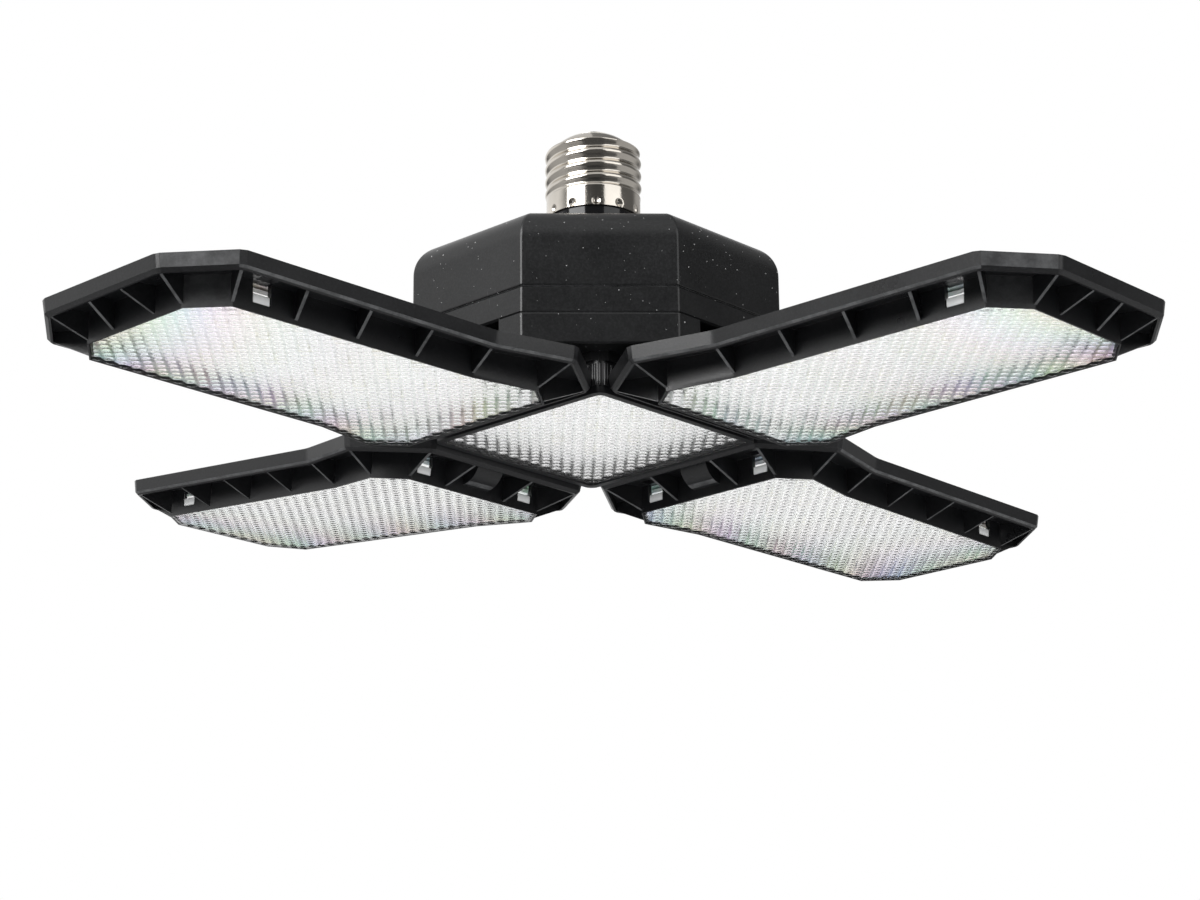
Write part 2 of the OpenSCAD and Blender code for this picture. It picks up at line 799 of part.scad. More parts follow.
module friction_washers() {
    color([0.6, 0.6, 0.62]) at_quarters(45) for (side = [-1, 1])
        translate([hinge_u, side * (knuckle_half + 0.05 + washer_t / 2), hinge_z])
            rotate([90, 0, 0]) difference() {
                cylinder(d = ear_d - 1, h = washer_t, center = true);
                cylinder(d = pin_d + 0.1, h = washer_t + 1, center = true);
            }
}

// ---------- Panels ----------

// Puts a panel's own coordinates at its hinge, turned up by its angle
module panel_place(direction, angle) {
    rotate([0, 0, direction])
        translate([hinge_u, 0, hinge_z]) rotate([0, -angle, 0]) translate([-hinge_u, 0, -hinge_h])
            children();
}

// The four snap clips: x along the lens's edge, y outward, origin on the lens's outline
module clip_places() {
    side_run = lens_half[3] - lens_half[2];
    side_place = between(lens_half[2], lens_half[3], clip_side_t);
    for (m = [0, 1]) mirror([0, m, 0]) {
        translate(side_place) rotate([0, 0, atan2(side_run.y, side_run.x)]) children();
        translate([lens_half[0].x, clip_hinge_v]) rotate([0, 0, 90]) children();
    }
}

// Rib from a place on the rim's outline to a place on the lens's outline
module rib(rim_place, lens_place) {
    run = lens_place - rim_place;
    start = 0.8 * rim_t;
    end = norm(run) + 0.3;
    translate(rim_place) rotate([0, 0, atan2(run.y, run.x)]) rotate([90, 0, 0])
        linear_extrude(height = rib_t, center = true)
            polygon([
                [start, under_plate + overlap], [start, lip_z + 2 * overlap],
                [end, rib_low], [end, under_plate + overlap]
            ]);
}

module ribs() {
    for (m = [0, 1]) mirror([0, m, 0]) {
        for (i = [0:corners - 1]) rib(rim_half[i], lens_half[i]);
        for (k = [1:side_ribs])
            let (t = k / (side_ribs + 1))
            rib(between(rim_half[2], rim_half[3], t), between(lens_half[2], lens_half[3], t));
        rib([rim_half[0].x, hinge_rib_v], [lens_half[0].x, hinge_rib_v]);
        rib([panel_reach, tip_rib_rim_v], [lens_half[4].x, tip_rib_lens_v]);
    }
}

// Round relief over the hinge barrel, between the rim and the lens box
module hinge_relief() {
    inner_u = rim_inner_u + rim_t;
    outer_u = lens_half[0].x - box_out;
    intersection() {
        translate([hinge_u, 0, panel_h]) rotate([90, 0, 0])
            cylinder(r = relief_r, h = relief_w, center = true);
        translate([inner_u, -relief_w, 0])
            cube([outer_u + overlap - inner_u, 2 * relief_w, under_plate + overlap]);
    }
}

module panel_frame() {
    color(black) difference() {
        union() {
            difference() {
                stacked_prism(
                    [inset(rim, rim_edge), rim, inset(rim, -rim_draft)], [lip_z, lip_z + rim_edge, panel_h]
                );
                translate([0, 0, lip_z - 1]) linear_extrude(height = under_plate - lip_z + 1)
                    polygon(inset(rim, rim_t));
            }
            translate([0, 0, box_low]) linear_extrude(height = under_plate + overlap - box_low)
                ring(inset(panel_lens_outline, -box_out), inset(panel_lens_outline, box_in));
            ribs();
            hinge_relief();
            for (p = panel_bosses, side = [-1, 1])
                translate([p.x, side * p.y, board_z + board_t])
                    cylinder(r = boss_r, h = under_plate + overlap - board_z - board_t, $fn = 32);
            for (side = [-1, 1])
                translate([0, side * (ear_in + ear_out) / 2, 0]) {
                    translate([hinge_u, 0, hinge_h]) rotate([90, 0, 0])
                        cylinder(d = ear_d, h = ear_t, center = true);
                    translate([hinge_u - ear_d / 2 + 0.05, -ear_t / 2, panel_h - overlap])
                        cube([ear_d - 0.1, ear_t, hinge_rise + overlap]);
                }
        }
        translate([0, 0, box_low - 1]) linear_extrude(height = lens_t + 1 - box_low)
            polygon(inset(panel_lens_outline, -fit_gap));
        clip_places() {
            translate([-clip_w / 2 - fit_gap, -1.5, clip_low])
                cube([clip_w + 2 * fit_gap, 3, under_plate + overlap - clip_low]);
            translate([-clip_w / 2, box_out + 0.1, under_plate - 1])
                cube([clip_w, slot_len, plate_t + 2]);
        }
        for (p = panel_bosses, side = [-1, 1])
            translate([p.x, side * p.y, board_z])
                cylinder(d = small_screw_d + 2 * run_gap, h = panel_h - 0.7 - board_z, $fn = 32);
        translate([hinge_u, 0, hinge_h]) rotate([90, 0, 0])
            cylinder(d = pin_d + 2 * run_gap, h = notch_w + 2, center = true);
    }
}

module panel_light_board() {
    color(board_white) difference() {
        translate([0, 0, board_z]) linear_extrude(height = board_t)
            polygon(inset(panel_lens_outline, board_inset));
        for (p = panel_bosses, side = [-1, 1])
            translate([p.x, side * p.y, board_z - 1])
                cylinder(d = small_screw_d + 0.4, h = board_t + 2, $fn = 32);
    }
}

module panel_chips() {
    color([0.95, 0.9, 0.5])
        for (i = [0:chip_columns - 1], j = [0:chip_rows - 1])
            translate([
                between(chip_first.x, chip_last.x, i / (chip_columns - 1)) - chip.x / 2,
                between(chip_first.y, chip_last.y, j / (chip_rows - 1)) - chip.y / 2,
                board_z - chip_h
            ])
                cube([chip.x, chip.y, chip_h]);
}

module panel_board_screws() {
    color(nickel) for (p = panel_bosses, side = [-1, 1])
        translate([p.x, side * p.y, board_z])
            screw(small_screw_d, panel_h - 1 - board_z, small_head_h);
}

module panel_lens() {
    color(frosted) union() {
        stacked_prism([inset(panel_lens_outline, lens_bevel), panel_lens_outline], [0, lens_bevel]);
        translate([0, 0, lens_bevel]) linear_extrude(height = lens_t - lens_bevel)
            polygon(panel_lens_outline);
        clip_places() {
            translate([-clip_w / 2, -box_in - fit_gap - 1, lens_t - overlap])
                cube([clip_w, 1, clip_high + 0.3 - lens_t + overlap]);
            translate([-clip_w / 2, -box_in - fit_gap - 0.5, clip_low])
                cube([clip_w, box_in + fit_gap + 0.5 + box_out - 0.1, clip_high - clip_low]);
        }
    }
}

module panel_piece(part) {
    if (part == "frame") panel_frame();
    if (part == "light_board") panel_light_board();
    if (part == "chips") panel_chips();
    if (part == "board_screws") panel_board_screws();
    if (part == "lens") panel_lens();
}

// ---------- Every node ----------

centre_contact();
contact_insulator();
screw_shell();
neck_collar();
top_cover();
base_housing();
cover_screws();
driver_board();
driver_transformer();
driver_capacitors();
driver_small_parts();
driver_screws();
live_lead();
neutral_lead();
hinge_brackets();
bracket_screws();
hinge_pins();
friction_washers();
centre_frame();
centre_frame_screws();
centre_light_board();
centre_chips();
centre_board_screws();
centre_lens();
for (p = panels, part = panel_parts)
    panel_place(p[1], p[2]) panel_piece(part);
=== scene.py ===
"""Looks of the deformable garage light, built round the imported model.

Metres, +Z up, origin at the contact's tip. Named sizes are in millimetres, unless a comment says otherwise.
"""

import math

import bmesh
import bpy
import numpy as np
from mathutils import Matrix, Vector

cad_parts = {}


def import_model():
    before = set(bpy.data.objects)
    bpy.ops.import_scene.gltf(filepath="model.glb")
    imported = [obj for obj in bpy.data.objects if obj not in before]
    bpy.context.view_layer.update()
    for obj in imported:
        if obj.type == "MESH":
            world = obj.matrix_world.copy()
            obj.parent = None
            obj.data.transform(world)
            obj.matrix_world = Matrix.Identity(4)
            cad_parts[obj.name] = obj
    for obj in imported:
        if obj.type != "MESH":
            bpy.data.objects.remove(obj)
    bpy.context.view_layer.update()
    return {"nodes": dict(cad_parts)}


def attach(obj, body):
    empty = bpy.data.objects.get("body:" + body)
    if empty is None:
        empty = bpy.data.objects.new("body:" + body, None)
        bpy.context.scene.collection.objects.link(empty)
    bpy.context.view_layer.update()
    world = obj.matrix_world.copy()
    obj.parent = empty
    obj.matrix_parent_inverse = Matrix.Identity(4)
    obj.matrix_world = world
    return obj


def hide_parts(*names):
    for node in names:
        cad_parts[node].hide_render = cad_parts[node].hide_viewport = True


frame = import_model()

MM = 0.001
NODES = frame["nodes"]

# ---------- Sizes of the solids ----------

# Azimuth of each panel's arm and its tilt at rest, in degrees
PANELS = {
    "front_left": (225, -0.4),
    "back_left": (135, 5.5),
    "back_right": (45, -0.4),
    "front_right": (315, -0.4),
}
CENTRE_FACE_Z = -88.42
PANEL_FACE_Z = -94.12
HINGE_U = 45.5
HINGE_H = 14.7
# Half of a panel's lens outline: along the arm from the light's axis, and across it
LENS_HALF = [(45.4, 24.3), (53.6, 30.6), (72.4, 27.1), (146.1, 25.7), (153.2, 17.1)]
LENS_T = 2.0
CENTRE_LENS_HALF = 28.6
BOX_OUT = 0.6
BOX_IN = 0.7
FIT_GAP = 0.15
APOTHEM = 48.2

CLIP_SIDE_SHARE = 0.89
CLIP_HINGE_V = 19.2
CLIP_W = 5.0
CLIP_LOW = 2.6
CLIP_HIGH = 5.0

THREAD_CREST_R = 13.2
THREAD_ROOT_R = 12.35
THREAD_PITCH = 3.63
THREAD_TOP_Z = -5.0
THREAD_LOW_Z = -19.52
SKIRT_Z = -25.22
SKIRT_R = 12.85
DOME_TOP_Z = -0.25
SHOULDER_R = 11.2
MOUTH_R = 8.9
# Upright half axis of the ellipse that the dome follows
DOME_AXIS = (DOME_TOP_Z - THREAD_TOP_Z) / (1 - math.sqrt(1 - (SHOULDER_R / THREAD_ROOT_R) ** 2))

# ---------- Sizes of the looks ----------

LENSLET_PITCH = 2.9
LENSLET_H = 0.3
# Radius of a dome and of the ring of points on it, as shares of the pitch
LENSLET_R = 0.485
LENSLET_RING = 0.25
LENSLET_SIDES = 8
LATTICE_TURN = math.radians(45)
# Width of the flat margin round a lens, and of the strip past it where the domes grow to their full height
LENS_MARGIN = 0.5

HOUSING_CORNER = 0.42
HOUSING_EDGE = 0.13
FRAME_EDGE = 0.22
HOUSING_OUT = 0.93 * APOTHEM

SHELL_AROUND = 288
SHELL_SKIRT_STEP = 0.27
SHELL_THREAD_STEP = 0.24
SHELL_DOME_STEPS = 8
SHELL_T = 0.45
THREAD_FADE_LOW = 1.2
THREAD_FADE_TOP = 0.9
CREST_POWER = 0.8
DIMPLE_Z = -24.0
DIMPLE_R = 1.2
DIMPLE_DEEP = 0.75
DIMPLE_STEP = math.radians(30)
DIMPLE_FIRST = math.radians(-88.5)

# Heights over the lens face at which a frame's faces are split, for the walls painted pale and for the
# chamfer's band of rubbed wear and painted highlight
BEHIND_LENS = 2.1
CHAMFER_BAND_FROM = 5.74
# The light box behind the lens: its ceiling, and how far its walls may lie outside the lens's outline
BOX_CEILING = 8.7
BOX_MARGIN = 0.5
# Where the frame's parts begin and end in panel coordinates: u along the arm, h over the lens face
LIP_H = 0.5
RIB_H = 5.8
TIP_EDGE_H = 5.9
RIM_EDGE_H = 6.6
NECK_U = 60
TIP_U = 140
# How far out, square to a cut corner, the rim's own corner face lies and the light box's doesn't
RIM_CORNER = 126

# How much of the pale colour a face takes: rubbed wear on the tips' sides, painted highlights on ribs and
# rounded edges, a painted reflection on the tips' box walls, and both wear and painted highlight on chamfers
# and tip edges
HOUSING_EDGE_HIGHLIGHT = 0.35
RIB_HIGHLIGHT = 0.38
CHAMFER_WEAR_AND_SHEEN = 0.4
WEAR_SIDE = 0.33
BOX_REFLECTION = 0.12
TIP_EDGE_WEAR_AND_SHEEN = 0.5
EDGE_HIGHLIGHT = 0.6


# ---------- Node helpers ----------

class Nodes:
    """A node tree, with short calls for the nodes that this script uses."""

    def __init__(self, tree):
        self.tree = tree

    def add(self, kind, **values):
        node = self.tree.nodes.new(kind)
        for key, value in values.items():
            setattr(node, key, value)
        return node

    def feed(self, socket, value):
        """Links a socket to an output, or sets its own value."""
        if isinstance(value, bpy.types.NodeSocket):
            self.tree.links.new(value, socket)
        else:
            socket.default_value = value

    def put(self, node, **inputs):
        for key, value in inputs.items():
            self.feed(node.inputs[key.replace("_", " ")], value)
        return node

    def math(self, operation, a, b=0.0):
        n = self.add("ShaderNodeMath", operation=operation)
        self.feed(n.inputs[0], a)
        self.feed(n.inputs[1], b)
        return n.outputs[0]

    def largest(self, *values):
        value = values[0]
        for other in values[1:]:
            value = self.math("MAXIMUM", value, other)
        return value

    def span(self, value, low, high, to_low, to_high, curve="LINEAR"):
        n = self.add("ShaderNodeMapRange", interpolation_type=curve)
        for i, x in enumerate((value, low, high, to_low, to_high)):
            self.feed(n.inputs[i], x)
        return n.outputs["Result"]

    def ramp(self, value, low, high, to_low, to_high):
        return self.span(value, low, high, to_low, to_high, "SMOOTHSTEP")

    def mix(self, share, a, b):
        """Mixes two colours, each a socket or red, green and blue."""
        n = self.add("ShaderNodeMix", data_type="RGBA")
        self.feed(n.inputs[0], share)
        for i, colour in ((6, a), (7, b)):
            self.feed(n.inputs[i], colour if isinstance(colour, bpy.types.NodeSocket) else (*colour, 1.0))
        return n.outputs[2]

    def mix_shader(self, share, a, b):
        n = self.add("ShaderNodeMixShader")
        for i, value in enumerate((share, a, b)):
            self.feed(n.inputs[i], value)
        return n.outputs[0]


class Paint(Nodes):
    """A material round its Principled shader. Scales of textures are per metre of object space."""

    def __init__(self, name):
        self.mat = bpy.data.materials.new(name)
        self.mat.use_nodes = True
        super().__init__(self.mat.node_tree)
        self.shader = self.tree.nodes["Principled BSDF"]

    def set(self, **inputs):
        self.put(self.shader, **inputs)

    def place(self):
        return self.add("ShaderNodeTexCoord").outputs["Object"]

    def stretched(self, turn, stretch):
        """Object coordinates turned and scaled, for streaks."""
        n = self.add("ShaderNodeMapping")
        self.put(n, Vector=self.place(), Rotation=(turn, turn * 0.7, turn * 0.4), Scale=stretch)
        return n.outputs["Vector"]

    def noise(self, scale, detail, rough=0.5, where=None):
        n = self.add("ShaderNodeTexNoise")
        self.put(n, Scale=scale, Detail=detail, Roughness=rough, Vector=where or self.place())
        return n

    def attribute(self, name):
        return self.add("ShaderNodeAttribute", attribute_name=name).outputs["Fac"]

    def bump(self, height, distance, strength=1.0):
        n = self.put(self.add("ShaderNodeBump"), Height=height, Distance=distance, Strength=strength)
        self.set(Normal=n.outputs["Normal"])


# ---------- Materials ----------

# Pale colour for rubbed wear and for painted highlights and reflections on marked faces
WEAR_AND_SHEEN_COLOUR = (0.2, 0.205, 0.21)
DUST = (0.75, 0.75, 0.75)
SCRATCH = (0.12, 0.12, 0.12)
DUST_SCALE = 600
# Each family of scratches: turn in radians, stretch of the texture, scale of the patches that hold it
SCRATCHES = ((0.5, (200, 200, 3600), 29.1), (-0.9, (3300, 210, 210), 33.7))


def times(colour, factor):
    return [min(1.0, c * factor) for c in colour]


def dust_and_scratches(m, base):
    """Adds bright specks of dust and faint scratches to a colour."""
    grit = m.put(m.add("ShaderNodeTexVoronoi"), Scale=DUST_SCALE, Vector=m.place())
    kept = m.put(m.add("ShaderNodeSeparateColor"), Color=grit.outputs["Color"])
    reach = m.span(kept.outputs[1], 0.0, 1.0, 0.05, 0.13)
    strength = m.span(kept.outputs[0], 0.2, 1.0, 0.0, 1.0)
    dust = m.math("MULTIPLY", m.math("LESS_THAN", grit.outputs["Distance"], reach), strength)
    base = m.mix(dust, base, DUST)
    for turn, stretch, patches in SCRATCHES:
        lines = m.noise(1.0, 0, where=m.stretched(turn, stretch)).outputs["Fac"]
        mask = m.span(m.noise(patches, 1).outputs["Fac"], 0.64, 0.7, 0.0, 1.0)
        streak = m.math("MULTIPLY", m.span(lines, 0.8, 0.84, 0.0, 0.5), mask)
        base = m.mix(streak, base, SCRATCH)
    return base


def black_plastic(name, colour, rough, specks, gloss):
    """Moulded black plastic: fine grain, faint clouds, and a pale colour on marked faces that is partly
    rubbed wear and partly painted highlight and reflection. Specks adds dust and scratches.
    """
    m = Paint(name)
    patch = m.noise(38, 4, 0.65).outputs["Fac"]
    fine = m.noise(1900, 2, 0.6).outputs["Fac"]
    cloud = m.span(patch, 0.3, 0.7, 0.0, 1.0)
    base = m.mix(cloud, times(colour, 0.86), times(colour, 1.16))
    base = m.mix(m.span(fine, 0.42, 0.72, 0.0, 0.75), base, times(colour, 2.6))
    # Rubbed wear and painted highlight: marked faces take the pale colour in patches
    wear_sheen_patches = m.span(m.noise(240, 4, 0.75).outputs["Fac"], 0.38, 0.66, 0.35, 1.0)
    base = m.mix(m.math("MULTIPLY", m.attribute("wear_and_sheen"), wear_sheen_patches), base, WEAR_AND_SHEEN_COLOUR)
    if specks:
        base = dust_and_scratches(m, base)
    m.set(Base_Color=base, Specular_IOR_Level=gloss,
          Roughness=m.span(patch, 0.3, 0.7, rough - 0.03, rough + 0.06))
    m.bump(fine, 0.00003, 0.6)
    return m.mat


def plain(name, colour, rough, metal=0.0, grain=0.0, scale=800.0):
    """A material of one colour with faint patches and, where grain is given in metres, fine grain."""
    m = Paint(name)
    patch = m.noise(scale * 0.08, 3).outputs["Fac"]
    base = m.mix(m.span(patch, 0.3, 0.7, 0.0, 1.0), times(colour, 0.9), times(colour, 1.07))
    m.set(Base_Color=base, Roughness=m.span(patch, 0.3, 0.7, rough * 0.85, rough * 1.2), Metallic=metal)
    if grain:
        m.bump(m.noise(scale, 2).outputs["Fac"], grain)
    return m.mat


def box_wall_sheen():
    """The black wall inside a light box, painted pale grey with slow pastel tints: painted light from the
    lens's haze and a painted rainbow sheen, which the lens shows at its far edge.
    """
    m = Paint("box_painted_sheen")
    hue = m.noise(70.0, 1.0).outputs["Color"]
    m.set(Base_Color=m.mix(0.45, (0.39, 0.4, 0.4), hue), Roughness=0.5)
    return m.mat


def lens_material():
    """Clear moulded plastic, frosted inside, with a faint painted rainbow sheen in its colour for the tints
    where light leaves it askew.
    """
    m = Paint("lens_plastic")
    sheen_tint = m.add("ShaderNodeVertexColor", layer_name="sheen_tint").outputs["Color"]
    m.set(Base_Color=sheen_tint, Roughness=m.span(m.attribute("frost"), 0.0, 1.0, 0.02, 0.13), IOR=1.3,
          Transmission_Weight=1.0)
    return m.mat


BLACK = black_plastic("black_plastic", (0.0078, 0.0081, 0.0086), 0.3, True, 0.5)
FRAME_BLACK = black_plastic("frame_plastic", (0.0052, 0.0054, 0.006), 0.3, False, 0.55)
GLOSS_BLACK = plain("neck_plastic", (0.01, 0.01, 0.011), 0.08)
NICKEL = plain("nickel", (0.70, 0.655, 0.59), 0.14, metal=1.0, grain=0.00001, scale=1500)
INSULATOR = plain("insulator_glaze", (0.72, 0.69, 0.62), 0.3)
CONTACT = plain("contact_metal", (0.68, 0.65, 0.6), 0.3, metal=1.0)
STEEL = plain("steel", (0.5, 0.5, 0.5), 0.35, metal=1.0)
DARK_STEEL = plain("dark_steel", (0.12, 0.12, 0.125), 0.4, metal=1.0)
BOARD = plain("board_mask", (0.88, 0.89, 0.88), 0.45)
CHIP = plain("chip_phosphor", (0.9, 0.89, 0.8), 0.4)
CIRCUIT = plain("circuit_mask", (0.03, 0.14, 0.07), 0.35)
WINDING = plain("winding_tape", (0.6, 0.45, 0.12), 0.5)
SLEEVE = plain("capacitor_sleeve", (0.03, 0.03, 0.05), 0.35)
RED = plain("live_insulation", (0.45, 0.03, 0.03), 0.5)
WHITE = plain("neutral_insulation", (0.75, 0.75, 0.75), 0.5)
CLIP = plain("clip_plastic", (0.75, 0.76, 0.76), 0.3)
LENS = lens_material()
BOX_WALL_SHEEN = box_wall_sheen()

BY_NODE = {
    "centre_contact": CONTACT, "contact_insulator": INSULATOR, "screw_shell": NICKEL,
    "neck_collar": GLOSS_BLACK, "top_cover": BLACK, "base_housing": BLACK, "cover_screws": DARK_STEEL,
    "driver_board": CIRCUIT, "driver_transformer": WINDING, "driver_capacitors": SLEEVE,
    "driver_small_parts": SLEEVE, "driver_screws": DARK_STEEL, "live_lead": RED, "neutral_lead": WHITE,
    "hinge_brackets": FRAME_BLACK, "bracket_screws": DARK_STEEL, "hinge_pins": STEEL,
    "friction_washers": STEEL, "centre_frame": FRAME_BLACK, "centre_frame_screws": DARK_STEEL,
    "centre_light_board": BOARD, "centre_chips": CHIP, "centre_board_screws": STEEL, "centre_lens": LENS,
}
BY_PART = {"frame": FRAME_BLACK, "light_board": BOARD, "chips": CHIP, "board_screws": STEEL, "lens": LENS}
for panel in PANELS:
    for part, material in BY_PART.items():
        BY_NODE[f"{panel}_{part}"] = material
for node, material in BY_NODE.items():
    NODES[node].data.materials.clear()
    NODES[node].data.materials.append(material)


# ---------- Mesh helpers ----------

def new_object(name, mesh, material):
    obj = bpy.data.objects.new(name, mesh)
    bpy.context.scene.collection.objects.link(obj)
    mesh.materials.append(material)
    return obj


def mesh_of(name, bm):
    """Writes a bmesh to a new mesh and frees it."""
    mesh = bpy.data.meshes.new(name)
    bm.to_mesh(mesh)
    bm.free()
    return mesh


def merge(bm, part):
    """Adds the bmesh part to bm and frees part."""
    temp = mesh_of("part", part)
    bm.from_mesh(temp)
    bpy.data.meshes.remove(temp)


def stand_for(node, mesh, material, body, sharp_deg):
    """Makes a mesh the visible piece that stands for a CAD node and rides on its body."""
    obj = new_object(mesh.name, mesh, material)
    mesh.shade_smooth()
    mesh.set_sharp_from_angle(angle=math.radians(sharp_deg))
    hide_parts(node)
    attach(obj, body)
    return obj


def bevel(bm, edges, width, segments=2, clamp=True):
    """Rounds edges of a bmesh. Returns the new faces."""
    return bmesh.ops.bevel(bm, geom=edges, offset=width, offset_type="OFFSET", segments=segments, profile=0.5,
                           affect="EDGES", clamp_overlap=clamp)["faces"]


def panel_matrix(panel):
    """Panel coordinates to the row frame in metres: u along the arm, v across it, h up from the lens face."""
    azimuth, raised = PANELS[panel]
    turn = Matrix.Rotation(math.radians(azimuth), 4, "Z")
    hinge = Matrix.Translation((HINGE_U, 0, PANEL_FACE_Z + HINGE_H))
    tilt = Matrix.Rotation(-math.radians(raised), 4, "Y")
    back = Matrix.Translation((-HINGE_U, 0, -HINGE_H))
    return Matrix.Scale(MM, 4) @ turn @ hinge @ tilt @ back


# ---------- Rounded edges ----------

def clean_copy(node):
    """A bmesh of a CAD node with its flat faces whole."""
    bm = bmesh.new()
    bm.from_mesh(NODES[node].data)
    bmesh.ops.remove_doubles(bm, verts=bm.verts, dist=2e-6)
    bmesh.ops.dissolve_limit(bm, angle_limit=math.radians(0.8), verts=bm.verts, edges=bm.edges)
    return bm


def rounded_piece(node, bm, material, body):
    """Lets a rounded bmesh stand for a CAD node, with the shading of its flat faces kept flat."""
    obj = stand_for(node, mesh_of(f"{node}_round", bm), material, body, 35)
    obj.modifiers.new("flat_faces", "WEIGHTED_NORMAL").keep_sharp = True
    return obj


def is_sharp(edge, least_deg):
    return len(edge.link_faces) == 2 and edge.calc_face_angle(0) >= math.radians(least_deg)


def is_corner(edge):
    """True for the upright outer edges of the octagonal housing."""
    if not is_sharp(edge, 20):
        return False
    for v in edge.verts:
        turn = math.degrees(math.atan2(v.co.y, v.co.x)) % 45
        if abs(turn - 22.5) > 0.25 or math.hypot(v.co.x, v.co.y) < 0.7 * APOTHEM * MM:
            return False
    return True


def is_level_edge(edge):
    """True for the level outer edges of the octagonal housing."""
    if not is_sharp(edge, 50):
        return False
    a, b = (v.co for v in edge.verts)
    if abs(a.z - b.z) > 0.02 * MM or (a - b).length < 2 * MM:
        return False
    return min(math.hypot(a.x, a.y), math.hypot(b.x, b.y)) > HOUSING_OUT * MM


def round_housing(node):
    """Rounds the housing's eight upright corners widely and its other outer edges finely, and paints a
    highlight on its level edges and on the outer chamfers that face down.
    """
    bm = clean_copy(node)
    wear_and_sheen = bm.faces.layers.float.new("wear_and_sheen")
    bevel(bm, [e for e in bm.edges if is_corner(e)], HOUSING_CORNER * MM, segments=4, clamp=False)
    rounded = bevel(bm, [e for e in bm.edges if is_level_edge(e)], HOUSING_EDGE * MM)
    bm.normal_update()
    # Painted highlight: the rounded level edges and the outer chamfers that face down take the pale colour,
    # as thin light lines
    for face in bm.faces:
        outside = face.calc_center_median().xy.length > HOUSING_OUT * MM
        if face in rounded or (outside and 0.5 < -face.normal.z < 0.85):
            face[wear_and_sheen] = HOUSING_EDGE_HIGHLIGHT
    rounded_piece(node, bm, BLACK, "housing")


def frame_wear_and_sheen(c, n, rounded):
    """How much pale colour a face of a panel's frame takes, from its middle and its normal in panel
    coordinates: painted highlights on ribs and rounded edges, a painted reflection on the tips' box walls,
    rubbed wear on the tips' sides, and both on chamfers and tip edges.
    """
    down = -n.z
    if c.z < LIP_H and down > 0.3:
        return 0.0
    # Painted highlight on the ribs' lower faces
    if c.z < RIB_H and 0.86 < down < 0.98:
        return RIB_HIGHLIGHT
    # Chamfers: rubbed wear and painted highlight
    if 0.5 < down <= 0.86 and not rounded:
        return CHAMFER_WEAR_AND_SHEEN if abs(n.y) > 0.62 and c.x > NECK_U and c.z > CHAMFER_BAND_FROM else 0.0
    # Tips' sides: rubbed wear; the tips' box walls: painted reflection
    past_corner = Vector((1, math.copysign(1, c.y), 0)).normalized()
    if n.dot(past_corner) > 0.975 and c.x > TIP_U:
        return WEAR_SIDE if c.dot(past_corner) > RIM_CORNER else BOX_REFLECTION
    # Rounded edges: painted highlights, with rubbed wear and painted highlight on the tips' lower edges
    if rounded and down > 0.1 and c.z < RIM_EDGE_H and c.x > NECK_U:
        return TIP_EDGE_WEAR_AND_SHEEN if c.x > TIP_U and down < 0.65 and c.z > TIP_EDGE_H else 0.0
    return EDGE_HIGHLIGHT if rounded else 0.0


def in_light_box(c):
    """True in panel coordinates behind the lens, where the frame's walls are painted pale."""
    along, across = zip(*LENS_HALF)
    half = np.interp(c.x, along, across) + BOX_MARGIN
    inside = along[0] - BOX_MARGIN < c.x < along[-1] + BOX_MARGIN and abs(c.y) < half
    return inside and BEHIND_LENS - 0.05 < c.z < BOX_CEILING


def round_frame(panel):
    """Rounds a panel frame's sharp edges, paints rubbed wear and highlights on its rim and ribs, and paints
    its light box's walls pale with the lens's sheen.
    """
    bm = clean_copy(f"{panel}_frame")
    wear_and_sheen = bm.faces.layers.float.new("wear_and_sheen")
    rounded = bm.faces.layers.int.new("rounded")
    for face in bevel(bm, [e for e in bm.edges if is_sharp(e, 20)], FRAME_EDGE * MM):
        face[rounded] = 1
    place = panel_matrix(panel)
    local = place.inverted()
    for level in (BEHIND_LENS, CHAMFER_BAND_FROM):
        bmesh.ops.bisect_plane(bm, geom=bm.verts[:] + bm.edges[:] + bm.faces[:],
                               plane_co=place @ Vector((0, 0, level)),
                               plane_no=place.to_3x3() @ Vector((0, 0, 1)))
    bm.normal_update()
    for face in bm.faces:
        middle = local @ face.calc_center_median()
        normal = (local.to_3x3() @ face.normal).normalized()
        face[wear_and_sheen] = frame_wear_and_sheen(middle, normal, face[rounded] == 1)
        # Walls behind the lens take the pale material with painted haze light and rainbow sheen
        face.material_index = 1 if all(in_light_box(local @ v.co) for v in face.verts) else 0
    obj = rounded_piece(f"{panel}_frame", bm, FRAME_BLACK, f"{panel}_panel")
    obj.data.materials.append(BOX_WALL_SHEEN)


# ---------- Lenses ----------

def turned(p, angle):
    c, s = math.cos(angle), math.sin(angle)
    return Vector((c * p[0] - s * p[1], s * p[0] + c * p[1]))


def segment_distance(p, a, b):
    d = b - a
    t = max(0.0, min(1.0, (p - a).dot(d) / d.length_squared))
    return (p - (a + d * t)).length


def dome(x, y):
    """Height share of the lenslet at (x, y)."""
    dx = (x / LENSLET_PITCH) % 1.0 - 0.5
    dy = (y / LENSLET_PITCH) % 1.0 - 0.5
    r = math.hypot(dx, dy) / LENSLET_R
    return max(0.0, 1.0 - r * r)


